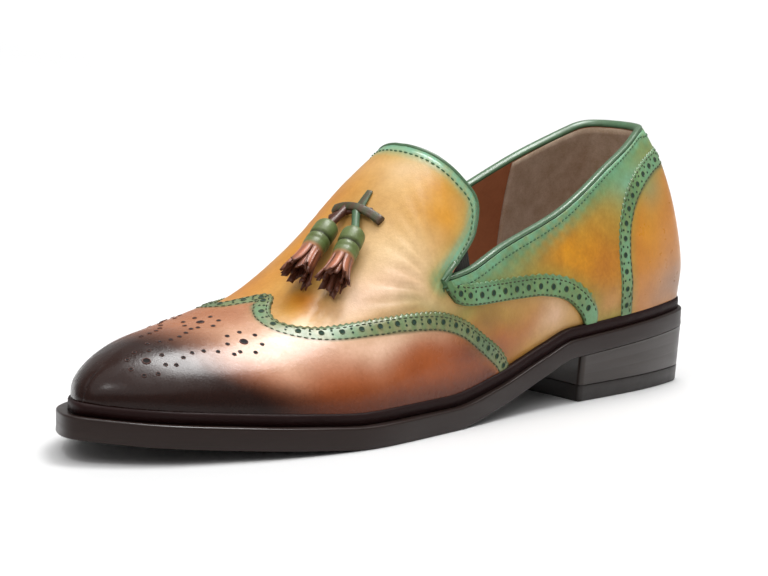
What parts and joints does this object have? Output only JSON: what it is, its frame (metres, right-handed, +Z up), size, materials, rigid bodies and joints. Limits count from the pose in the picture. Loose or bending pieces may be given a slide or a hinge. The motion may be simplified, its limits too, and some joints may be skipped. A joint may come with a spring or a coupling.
{
  "type": "tassel loafer",
  "caption": "Left leather slip-on shoe with a high rounded tongue, perforated wing-tip, tassels on a knotted thong, leather sole and stacked heel.",
  "frame": {"origin": "middle of the shoe's box at floor level", "axes": "+X from heel to toe, +Y to the outer side of the left foot, +Z up"},
  "size_m": [0.305, 0.0973, 0.1012],
  "materials": {
    "sole_leather": "waxed sole edge",
    "welt_leather": "dark waxed",
    "heel_leather": "waxed stack",
    "heel_rubber": "matt",
    "insole_leather": "matt",
    "vamp_leather": "hand-coloured, polished",
    "wing_leather": "burnished, polished",
    "quarter_leather": "hand-coloured, polished",
    "counter_leather": "hand-coloured, polished",
    "binding_leather": "polished",
    "gore_elastic": "woven elastic",
    "thong_leather": "matt",
    "tassel_leather": "matt"
  },
  "bodies": {
    "root": {"outsole": "sole_leather", "welt": "welt_leather", "heel_stack": "heel_leather", "heel_top_piece": "heel_rubber", "insole": "insole_leather", "upper": "vamp_leather", "wing_tip": "wing_leather", "quarter_lateral": "quarter_leather", "quarter_medial": "quarter_leather", "counter": "counter_leather", "quarter_binding": "binding_leather", "tongue_binding": "binding_leather", "gore": "gore_elastic", "thong": "thong_leather", "tassel_near": "tassel_leather", "tassel_far": "tassel_leather"}
  },
  "joints": []
}
